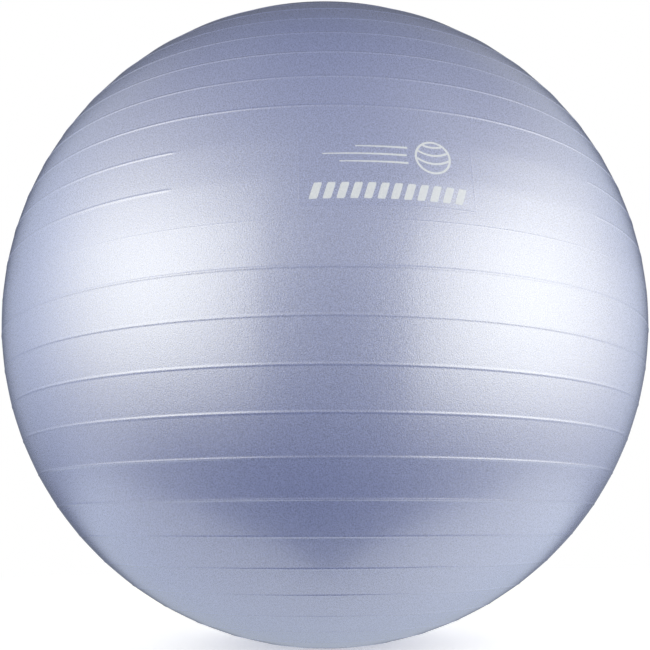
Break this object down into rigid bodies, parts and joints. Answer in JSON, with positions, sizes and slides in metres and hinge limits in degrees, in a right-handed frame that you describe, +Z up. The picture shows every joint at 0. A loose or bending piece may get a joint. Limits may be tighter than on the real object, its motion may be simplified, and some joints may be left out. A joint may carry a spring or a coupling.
{
  "type": "exercise ball",
  "caption": "Inflated ball for sitting and floor exercise, with raised ribs around it, a plugged valve in its top and a printed patch on a plain window.",
  "frame": {"origin": "centre of the small flat that the ball makes on the floor where it stands", "axes": "+Z up along the ball's moulding axis, through the valve; the plain window with the printed patch faces -Y; +X is to the right of someone who looks at the print"},
  "size_m": [0.6504, 0.6504, 0.6489],
  "materials": {
    "skin_pvc": "satin",
    "neck_pvc": "satin",
    "plug_plastic": "satin",
    "clear_film": "gloss",
    "print_ink": "satin"
  },
  "bodies": {
    "ball": {"ball_skin": "skin_pvc", "valve_neck": "neck_pvc", "print_film": "clear_film", "print_mark": "print_ink"},
    "plug": {"valve_plug": "plug_plastic"}
  },
  "joints": [
    {"name": "plug_pull", "type": "slide", "parent": "ball", "child": "plug", "axis": [0, 0, 1], "range_m": [0, 0.034]}
  ]
}
